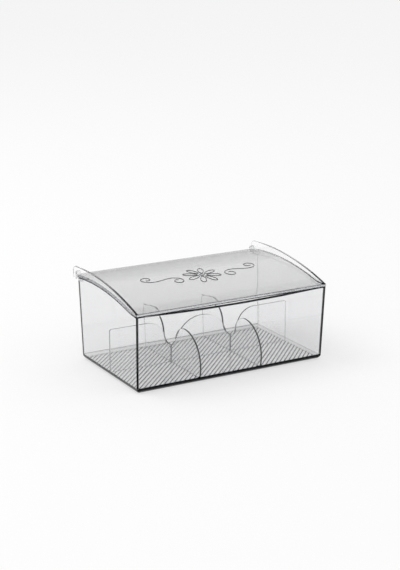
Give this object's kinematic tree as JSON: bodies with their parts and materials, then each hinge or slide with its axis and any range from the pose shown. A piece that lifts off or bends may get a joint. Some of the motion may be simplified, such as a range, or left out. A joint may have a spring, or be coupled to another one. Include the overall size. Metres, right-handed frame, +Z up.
{
  "type": "tea bag organizer box",
  "caption": "See-through organizer box with an arched hinged lid, raised side wings and a lift-out grid of interlocking dividers that make compartments for tea bags.",
  "frame": {"origin": "middle of the tray's flat underside, on the surface that the box stands on", "axes": "+X to the right along the front wall, +Y from the front wall to the hinge at the back, +Z up"},
  "size_m": [0.2204, 0.1441, 0.0991],
  "materials": {
    "smoke_plastic": "clear moulded plastic with a light smoke tint, polished"
  },
  "bodies": {
    "tub": {"tub": "smoke_plastic"},
    "lid": {"lid": "smoke_plastic"},
    "long_divider": {"long_divider": "smoke_plastic"},
    "left_cross_divider": {"left_cross_divider": "smoke_plastic"},
    "right_cross_divider": {"right_cross_divider": "smoke_plastic"}
  },
  "joints": [
    {"name": "lid_hinge", "type": "hinge", "parent": "tub", "child": "lid", "pos_m": [0, 0.072, 0.0906], "axis": [-1, 0, 0], "range_deg": [0, 100]},
    {"name": "long_divider_lift", "type": "slide", "parent": "tub", "child": "long_divider", "axis": [0, 0, 1], "range_m": [0, 0.018]},
    {"name": "left_cross_lift", "type": "slide", "parent": "long_divider", "child": "left_cross_divider", "axis": [0, 0, 1], "range_m": [0, 0.018]},
    {"name": "right_cross_lift", "type": "slide", "parent": "long_divider", "child": "right_cross_divider", "axis": [0, 0, 1], "range_m": [0, 0.018]}
  ]
}
